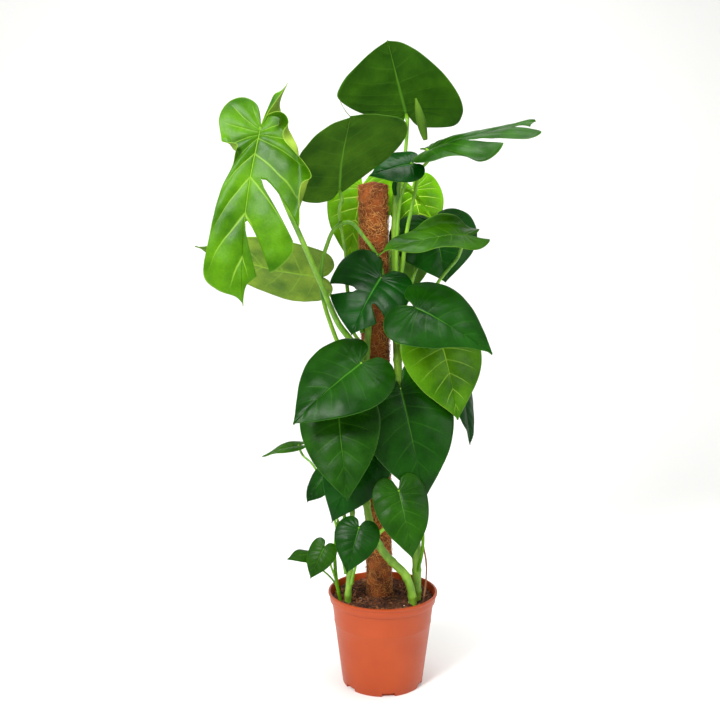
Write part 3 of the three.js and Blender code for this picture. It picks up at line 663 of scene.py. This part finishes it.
def makeVine(name):
    # a stem along its CAD tube, with the rings of old leaf scars and a rounded head
    run = smoothRun(tubeRings(nodes["vine_" + name]), 0.0022)
    if run[0][0].z > run[-1][0].z:
        run.reverse()
    shaped, travelled = [], 0.0
    for i, (middle, radius) in enumerate(run):
        if i:
            travelled += (middle - run[i - 1][0]).length
        near = (travelled / mm / vineSettings["ringMm"] + 0.5) % 1 - 0.5
        near *= vineSettings["ringMm"] / vineSettings["ringWidthMm"]
        ringRise = vineSettings["ringRise"] * math.exp(-near ** 2)
        wobble = 0.05 * noise.noise(middle * 40)
        shaped.append((middle, radius * (0.98 + ringRise + wobble)))
    for k in range(1, 5):
        middle, radius = shaped[-1]
        ahead = (run[-1][0] - run[-2][0]).normalized()
        shaped.append((middle + ahead * radius * 0.35, radius * (0.9 - 0.15 * k)))
    mesh = tubeMesh("climbing_stem_" + name, [shaped], 5)
    newObject("climbing_stem_" + name, mesh, [vineSkin], ["vine_" + name])


for vineName in ("left", "right", "rear", "young"):
    makeVine(vineName)
rootRun = smoothRun(tubeRings(nodes["aerial_root_right"]), 0.003)
rootRun = [(p, r * (0.9 + 0.25 * noise.noise(p * 90))) for p, r in rootRun]
rootMesh = tubeMesh("aerial_root", [rootRun], 3)
newObject("aerial_root", rootMesh, [rootSkin], ["aerial_root_right"])


def makeStrap(name, points, widthMm, cup, tone, turns=0.0):
    # a narrow sheath or bract: a strip that tapers to its tip, cupped along its middle
    knots = [tuple(c * mm for c in point) for point in points]
    strip = bmesh.new()
    outLayer, veinLayer, toneLayer = leafLayers(strip)
    bmesh.ops.create_grid(strip, x_segments=10, y_segments=36, size=0.5)
    for vert in strip.verts:
        sideways, share = vert.co.x * 2, vert.co.y + 0.5
        middle = Vector(splineAt(knots, share))
        ahead = (Vector(splineAt(knots, share + 0.02)) - Vector(splineAt(knots, share - 0.02))).normalized()
        across = Matrix.Rotation(turns * share, 3, ahead) @ ahead.cross(Vector((0, -1, 0.2))).normalized()
        width = widthMm * mm / 2 * (0.06 + math.sin(math.pi * (0.22 + 0.78 * share)) ** 0.8)
        bend = cup * sideways
        vert.co = middle + across * width * math.sin(bend) / cup
        vert.co += ahead.cross(across) * width * (1 - math.cos(bend)) / cup
        vert[outLayer] = 0.2 + 0.7 * abs(sideways)
        vert[veinLayer] = 0.25
        vert[toneLayer] = tone
    bmesh.ops.recalc_face_normals(strip, faces=strip.faces)
    mesh = meshFrom(strip, name)
    piece = newObject(name, mesh, [leafUpper, leafUnder])
    shell = piece.modifiers.new("thickness", "SOLIDIFY")
    shell.thickness = 0.7 * mm
    shell.offset = 0
    shell.material_offset = 1


makeStrap("sheath_at_vine_head", [(28, -22, 1098), (34, -24, 1122), (46, -34, 1112), (52, -42, 1088)],
          15, 1.3, 0.0, 0.8)
makeStrap("sheath_old", [(24, -22, 1060), (20, -26, 1082), (26, -30, 1102), (36, -34, 1108)],
          12, 1.4, 0.0, -0.9)
makeStrap("sheath_pale", [(36, -18, 1074), (58, -28, 1066), (84, -36, 1034), (104, -40, 1000)],
          9, 1.0, 1.0, 0.3)
makeStrap("sheath_low_left", [(-92, -40, 192), (-101, -50, 250), (-103, -54, 320), (-96, -56, 388)],
          9, 1.2, 0.9, 0.5)
makeStrap("sheath_low_right", [(72, -36, 250), (82, -48, 300), (84, -52, 350), (78, -54, 392)],
          8, 1.2, 0.9, -0.4)

# Dried rim that has come away from the top leaf's edge and hangs below it
topLeaf = dict(leafDefaults, **leafTable["top"])
topTurn, topOrigin, topSize = bladeFrame(topLeaf)
rimSteps = 40
rimRun = []
for k in range(rimSteps + 1):
    edgeX, edgeY = flatPoint(topLeaf, 1, 0.53 - 0.45 * k / rimSteps, 1)
    point = topTurn @ (bentPoint(topLeaf, edgeX, edgeY) * topSize) + topOrigin
    middling = math.sin(math.pi * k / rimSteps)
    sag = 20 * middling + 6 * math.sin(3 * math.pi * k / rimSteps)
    rimRun.append((point + Vector((0, -0.003, -sag * mm)), (0.7 + 0.9 * middling) * mm))
newObject("dried_leaf_rim", tubeMesh("dried_leaf_rim", [rimRun], 1), [driedSkin])
print("stalks, vines, sheaths and root made")

# Rolled young leaf: a blade still wound round itself
spear = {"turns": 2.2, "rows": 40, "columns": 60, "tone": 0.25, "veins": 9, "thickMm": 0.4}
spearLow, spearHigh = (Vector(corner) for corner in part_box("young_leaf_rolled"))
spearMiddle = (spearLow.y + spearHigh.y) / 2
spearFoot = Vector((spearHigh.x - 0.006, spearMiddle, spearLow.z + 0.002))
spearHead = Vector((spearLow.x + 0.002, spearMiddle, spearHigh.z))
spearAxis = spearHead - spearFoot
spearTurn = axesOf(spearAxis, Vector((0, -1, 0)))
roll = bmesh.new()
spearOut, spearVein, spearTone = leafLayers(roll)
grid = bmesh.ops.create_grid(roll, x_segments=spear["columns"], y_segments=spear["rows"], size=0.5)
for vert in grid["verts"]:
    around, up = vert.co.x + 0.5, vert.co.y + 0.5
    girth = 0.0015 + 0.0078 * math.sin(math.pi * min(1, 0.1 + up * 0.92)) ** 0.9
    girth *= 0.72 + 0.28 * around
    angle = 6.283 * spear["turns"] * around + 2.4
    vert[spearOut] = 0.15 + 0.8 * around
    vert[spearVein] = up * spear["veins"]
    vert[spearTone] = spear["tone"]
    spot = Vector((girth * math.cos(angle), up * spearAxis.length, girth * math.sin(angle)))
    vert.co = spearTurn @ spot + spearFoot
bmesh.ops.recalc_face_normals(roll, faces=roll.faces)
spearMesh = meshFrom(roll, "rolled_leaf")
spearPiece = newObject("rolled_leaf", spearMesh, [leafUnder, leafUpper], ["young_leaf_rolled"])
spearShell = spearPiece.modifiers.new("thickness", "SOLIDIFY")
spearShell.thickness = spear["thickMm"] * mm
spearShell.offset = 0

# Pot: a spun wall with a rolled rim, a stacking step and notches in its foot
potLow, potHigh = (Vector(corner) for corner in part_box("pot"))
pot = {"height": (potHigh.z - potLow.z) / mm, "rimRadius": potHigh.x / mm, "footRadius": 88, "wall": 2.4,
       "rimHeight": 22, "sides": 144, "notches": 6, "notchWidth": 28, "notchHeight": 8, "notchDepth": 16,
       "floor": 11}


def makePot():
    height, rim = pot["height"], pot["rimRadius"]
    underRim = height - pot["rimHeight"]
    slope = (rim - 8 - pot["footRadius"]) / underRim

    def wallAt(z):
        return pot["footRadius"] + slope * z

    ring = 2 * height / 3
    profile = [(0.0, 0), (60, 0), (pot["footRadius"] - 2, 0), (wallAt(0.6) - 0.6, 0.4), (wallAt(2), 2),
               (wallAt(30), 30), (wallAt(70), 70), (wallAt(110), 110),
               (wallAt(ring - 1), ring - 1), (wallAt(ring) + 0.5, ring), (wallAt(ring) + 1, ring + 1.5),
               (wallAt(ring) + 1.2, ring + 12), (wallAt(underRim - 3), underRim - 3),
               (wallAt(underRim), underRim), (rim - 5, underRim + 0.4), (rim - 4.2, underRim + 1.4),
               (rim - 3, height - 12), (rim - 2.4, height - 7), (rim - 0.8, height - 6), (rim, height - 4.6),
               (rim, height - 2), (rim - 0.5, height - 0.6), (rim - 1.6, height), (rim - 4, height),
               (rim - 5, height - 0.8), (rim - 5.4, height - 3),
               (wallAt(underRim) - pot["wall"], underRim - 3),
               (pot["footRadius"] - pot["wall"], pot["floor"]), (0.0, pot["floor"])]
    lathe = bmesh.new()
    verts = [lathe.verts.new((r * mm, 0, z * mm)) for r, z in profile]
    edges = [lathe.edges.new(pair) for pair in zip(verts, verts[1:])]
    bmesh.ops.spin(lathe, geom=verts + edges, cent=(0, 0, 0), axis=(0, 0, 1), angle=2 * math.pi,
                   steps=pot["sides"], use_merge=True)
    bmesh.ops.remove_doubles(lathe, verts=lathe.verts, dist=0.00002)
    bmesh.ops.recalc_face_normals(lathe, faces=lathe.faces)
    mesh = meshFrom(lathe, "nursery_pot")
    cutter = bmesh.new()
    for i in range(pot["notches"]):
        angle = -math.pi / 2 + 0.12 + i / pot["notches"] * 2 * math.pi
        size = Matrix.Diagonal((pot["notchDepth"] * mm, pot["notchWidth"] * mm,
                                2 * pot["notchHeight"] * mm, 1))
        place = Matrix.Rotation(angle, 4, "Z") @ Matrix.Translation((pot["footRadius"] * mm, 0, 0)) @ size
        bmesh.ops.create_cube(cutter, size=1, matrix=place)
    bmesh.ops.bevel(cutter, geom=cutter.edges[:], offset=1.5 * mm, affect="EDGES", segments=2, profile=0.5,
                    material=-1)
    cutMesh = meshFrom(cutter, "notchCutter")
    cutPiece = linked("notchCutter", cutMesh)
    piece = newObject("nursery_pot", mesh, [potPlastic], ["pot"])
    cut = piece.modifiers.new("notches", "BOOLEAN")
    cut.object = cutPiece
    cut.solver = "EXACT"
    done = evaluatedMesh(piece)
    piece.modifiers.remove(cut)
    piece.data = done
    bpy.data.objects.remove(cutPiece)
    done.shade_smooth()
    done.set_sharp_from_angle(angle=math.radians(35))


makePot()
print("pot made")

# Coir pole: a fibrous mat round a post, with loose strands lying over it
poleLow, poleHigh = (Vector(corner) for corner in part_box("coir_pole"))
pole = {"footRadius": 27, "headRadius": 32, "footX": -0.004, "headX": -0.023, "endGap": 0.0006, "sides": 90,
        "rows": 420, "reliefMm": 2.2, "strands": 5000, "strandMm": 0.36, "bareShare": 0.13}
poleHead = Vector((pole["headX"], 0, poleHigh.z - pole["endGap"]))
poleFoot = Vector((pole["footX"], 0, poleLow.z + pole["endGap"]))


def polePoint(angle, share, proud):
    # a place on the pole's surface, or proud of it
    radius = (pole["footRadius"] + (pole["headRadius"] - pole["footRadius"]) * share) * mm + proud
    middle = poleFoot.lerp(poleHead, share)
    return middle + Vector((math.cos(angle), math.sin(angle), 0)) * radius


def poleRelief(point):
    # how far the mat stands out or sinks in at a point
    rough = noise.noise(point * 55) * 0.6 + noise.noise(point * 160) * 0.4
    return pole["reliefMm"] * mm * (rough - 0.55)


def makePole():
    core = bmesh.new()
    bmesh.ops.create_grid(core, x_segments=pole["sides"], y_segments=pole["rows"], size=0.5)
    for vert in core.verts:
        angle, share = (vert.co.x + 0.5) * 2 * math.pi, vert.co.y + 0.5
        share = pole["bareShare"] + (1 - pole["bareShare"]) * share  # the mat starts down in the soil
        point = polePoint(angle, share, 0)
        vert.co = polePoint(angle, share, poleRelief(point))
    bmesh.ops.remove_doubles(core, verts=core.verts, dist=0.00002)
    rims = [edge for edge in core.edges if edge.is_boundary]
    top = [edge for edge in rims if edge.verts[0].co.z > 0.5]
    for edges, drop in ((top, 0.002), ([edge for edge in rims if edge not in top], -0.002)):
        for inset in (0.75, 0.45, 0.12):
            grown = bmesh.ops.extrude_edge_only(core, edges=edges)["geom"]
            verts = [item for item in grown if isinstance(item, bmesh.types.BMVert)]
            edges = [item for item in grown if isinstance(item, bmesh.types.BMEdge)]
            middle = sum((vert.co for vert in verts), Vector()) / len(verts)
            for vert in verts:
                vert.co = middle + (vert.co - middle) * inset
                vert.co.z += (drop + 0.003 * noise.noise(vert.co * 120)) * (1 if drop > 0 else 0)
        bmesh.ops.edgeloop_fill(core, edges=edges)
    bmesh.ops.recalc_face_normals(core, faces=core.faces)
    mesh = meshFrom(core, "coir_mat")
    newObject("coir_mat", mesh, [coirCoreWithPaintedShade], ["coir_pole"])
    strands = []
    for i in range(pole["strands"]):
        angle, share = dice.uniform(0, 2 * math.pi), dice.uniform(0.14, 0.998)
        heading = dice.gauss(0, 0.9)
        bend = dice.uniform(-1.6, 1.6)
        length = dice.uniform(7, 22) * mm
        loft = dice.uniform(0.0, 1.0) ** 2 * 4 * mm
        strand, steps = [], 4
        for k in range(steps + 1):
            turn = heading + bend * k / steps
            angle += math.cos(turn) * length / steps / 0.031
            share = min(0.999, max(0.135, share + math.sin(turn) * length / steps / 1.05))
            lift = 0.3 * mm + loft * math.sin(math.pi * k / steps)
            point = polePoint(angle, share, 0)
            point = polePoint(angle, share, max(poleRelief(point), -0.6 * mm) + lift)
            strand.append((point, pole["strandMm"] * mm * dice.uniform(0.6, 1.1)))
        strands.append(strand)
    mesh = tubeMesh("coir_strands", strands, 0)
    newObject("coir_strands", mesh, [coirStrand])


makePole()
print("coir pole made")

# Soil: a crumbly heap with bark, perlite and fine roots on it
soilLow, soilHigh = (Vector(corner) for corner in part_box("soil"))
soil = {"radius": 108, "top": 192, "crumbs": 1900, "bark": 190, "perlite": 45, "roots": 80,
        "rootSteps": 8, "rootStep": 0.004, "rootReach": 0.105, "skirtShrink": 0.955, "skirtZ": 0.15}
print("soil is", round((soilHigh.z - soilLow.z) / mm), "mm deep")


def soilHeight(x, y):
    # height of the soil's surface: a slight heap with lumps of two sizes
    reach = math.hypot(x, y) / (soil["radius"] * mm)
    rough = noise.noise(Vector((x, y, 0)) * 38) * 4.5 + noise.noise(Vector((x, y, 3)) * 110) * 2.2
    return (soil["top"] + 3 * (1 - reach ** 2) + rough) * mm


def scatter(name, count, sizes, stretch, material, radius, sink):
    # small rough lumps lying on the soil
    heap = bmesh.new()
    for i in range(count):
        spin, reach = dice.uniform(0, 6.283), radius * mm * math.sqrt(dice.uniform(0, 1))
        x, y = reach * math.cos(spin), reach * math.sin(spin)
        size = dice.uniform(*sizes) * mm
        shape = Matrix.Diagonal((size * dice.uniform(0.7, 1.3), size * dice.uniform(0.7, 1.3) * stretch,
                                 size * dice.uniform(0.5, 0.9), 1))
        turned = Matrix.Rotation(dice.uniform(0, 6.28), 4, "Z") @ Matrix.Rotation(dice.gauss(0, 0.5), 4, "X")
        place = Matrix.Translation((x, y, soilHeight(x, y) + size * sink))
        lump = bmesh.ops.create_icosphere(heap, subdivisions=1, radius=1, matrix=place @ turned @ shape)
        for vert in lump["verts"]:
            vert.co += Vector((dice.gauss(0, 1), dice.gauss(0, 1), dice.gauss(0, 1))) * size * 0.14
    mesh = meshFrom(heap, name)
    newObject(name, mesh, [material])
    mesh.shade_flat()


def makeSoil():
    bed = bmesh.new()
    bmesh.ops.create_circle(bed, cap_ends=True, cap_tris=True, segments=120, radius=soil["radius"] * mm)
    bmesh.ops.subdivide_edges(bed, edges=[edge for edge in bed.edges if not edge.is_boundary], cuts=60)
    for vert in bed.verts:
        vert.co.z = soilHeight(vert.co.x, vert.co.y)
    rim = [edge for edge in bed.edges if edge.is_boundary]
    wall = bmesh.ops.extrude_edge_only(bed, edges=rim)["geom"]
    for item in wall:
        if isinstance(item, bmesh.types.BMVert):
            item.co.x *= soil["skirtShrink"]
            item.co.y *= soil["skirtShrink"]
            item.co.z = soil["skirtZ"]
    bmesh.ops.edgeloop_fill(bed, edges=[edge for edge in bed.edges if edge.is_boundary])
    bmesh.ops.recalc_face_normals(bed, faces=bed.faces)
    mesh = meshFrom(bed, "potting_mix")
    newObject("potting_mix", mesh, [soilSkin], ["soil"])
    scatter("soil_crumbs", soil["crumbs"], (1.2, 4.5), 1.0, soilSkin, 106, 0.2)
    scatter("bark_chips", soil["bark"], (2.2, 4.5), 2.2, barkSkin, 104, 0.4)
    scatter("perlite_grains", soil["perlite"], (0.7, 1.6), 1.0, perliteSkin, 104, 0.5)
    threads = []
    for i in range(soil["roots"]):
        spin, reach = dice.uniform(0, 6.283), 0.1 * math.sqrt(dice.uniform(0.02, 1))
        x, y = reach * math.cos(spin), reach * math.sin(spin)
        heading, thread = dice.uniform(0, 6.283), []
        for k in range(soil["rootSteps"] + 1):
            heading += dice.gauss(0, 0.35)
            x += soil["rootStep"] * math.cos(heading)
            y += soil["rootStep"] * math.sin(heading)
            if math.hypot(x, y) > soil["rootReach"]:
                break
            lift = (1.2 + 2.5 * math.sin(math.pi * k / soil["rootSteps"])) * mm
            thread.append((Vector((x, y, soilHeight(x, y) + lift)), 0.45 * mm))
        if len(thread) > 3:
            threads.append(thread)
    newObject("fine_roots", tubeMesh("fine_roots", threads, 0), [rootSkin])


makeSoil()
print("soil made")

# Camera, floor and light
view = {"place": (-0.05, -1.92, 0.915), "down": 6, "lens": 45}
camera = linked("camera", bpy.data.cameras.new("camera"))
camera.location = view["place"]
camera.rotation_euler = (math.radians(90 - view["down"]), 0, 0)
camera.data.lens = view["lens"]
camera.data.clip_end = 50
bpy.context.scene.camera = camera

# a paper sweep: flat underfoot, curving up behind
sweep = {"halfWidth": 7, "length": 10, "front": -3.5, "flatTo": 1.6, "radius": 1.5}
ground = bmesh.new()
bmesh.ops.create_grid(ground, x_segments=4, y_segments=80, size=1)
for vert in ground.verts:
    along = (vert.co.y + 1) * sweep["length"] / 2 + sweep["front"]
    turn = min(max((along - sweep["flatTo"]) / sweep["radius"], 0), math.pi / 2)
    climb = max(along - sweep["flatTo"] - sweep["radius"] * math.pi / 2, 0)
    back = min(along, sweep["flatTo"]) + sweep["radius"] * math.sin(turn)
    vert.co = Vector((vert.co.x * sweep["halfWidth"], back, sweep["radius"] * (1 - math.cos(turn)) + climb))
floorMesh = meshFrom(ground, "floor")
floor = linked("floor", floorMesh)
floorMesh.shade_smooth()
# matt white background paper
floorPaint, _, floorShader, _ = newMaterial("paleFloor")
setInputs(None, floorShader, {"Base Color": srgb("fbfbf9"), "Roughness": 0.6})
floorMesh.materials.append(floorPaint)

world = bpy.data.worlds.new("studio")
world.use_nodes = True
sky = world.node_tree.nodes["Background"]
setInputs(None, sky, {"Color": (1, 1, 1, 1), "Strength": 0.45})
bpy.context.scene.world = world
bpy.context.scene.view_settings.view_transform = "Standard"

aimPoint = Vector((0, 0, 0.7))
lamps = {
    "key": {"place": (-1.5, -2.2, 2.4), "size": 0.9, "power": 110},
    "fill": {"place": (2.2, -1.6, 1.6), "size": 1.6, "power": 22},
    "top": {"place": (0.2, -0.2, 3.0), "size": 1.4, "power": 60},
}
for lampName, lamp in lamps.items():
    light = bpy.data.lights.new(lampName, "AREA")
    light.shape = "DISK"
    light.size = lamp["size"]
    light.energy = lamp["power"]
    holder = linked(lampName, light)
    holder.location = lamp["place"]
    aim = aimPoint - holder.location
    holder.rotation_euler = aim.to_track_quat("-Z", "Y").to_euler()
print("camera, floor and light set")
